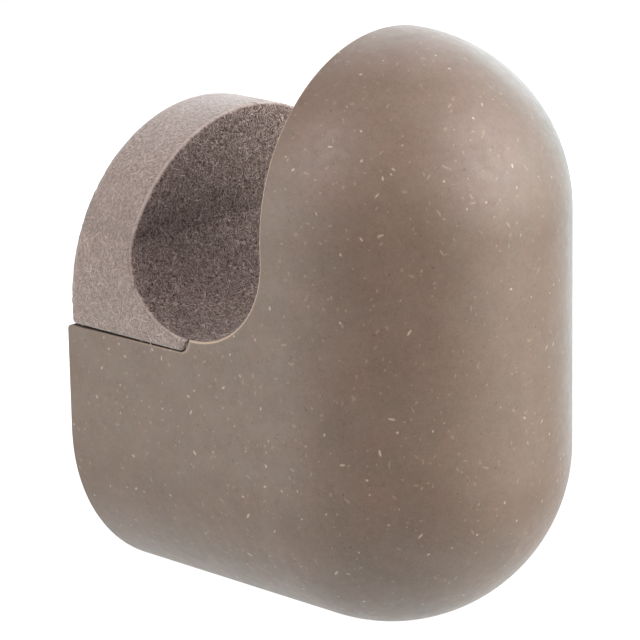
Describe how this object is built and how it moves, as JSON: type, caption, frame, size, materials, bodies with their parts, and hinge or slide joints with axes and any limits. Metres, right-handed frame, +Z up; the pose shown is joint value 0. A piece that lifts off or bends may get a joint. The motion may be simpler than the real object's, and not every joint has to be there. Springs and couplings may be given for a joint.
{
  "type": "wall hook",
  "caption": "Wall hook with a rough moulded base, a round-floored notch and a smooth capsule-shaped shell that slides onto the base.",
  "frame": {"origin": "on the wall face of the base, at the centre of its round top", "axes": "+Z up along the wall, +Y into the wall, -Y the way the hook reaches out, +X across the hook"},
  "size_m": [0.0404, 0.0655, 0.0666],
  "materials": {
    "rough_composite": "rough matted fibre composite",
    "smooth_composite": "smooth satin fibre composite with light and dark flecks",
    "zinc_steel": "zinc plated",
    "black_steel": "black oxide",
    "insert_brass": "turned"
  },
  "bodies": {
    "base": {"wall_base": "rough_composite", "wall_screw_upper": "zinc_steel", "wall_screw_lower": "zinc_steel"},
    "shell": {"hook_shell": "smooth_composite", "lock_insert": "insert_brass"},
    "lock": {"lock_screw": "black_steel"}
  },
  "joints": [
    {"name": "shell_slide", "type": "slide", "parent": "base", "child": "shell", "axis": [0, -1, 0], "range_m": [0, 0.03]},
    {"name": "lock_travel", "type": "slide", "parent": "shell", "child": "lock", "axis": [0, 0, -1], "range_m": [0, 0.002]}
  ]
}
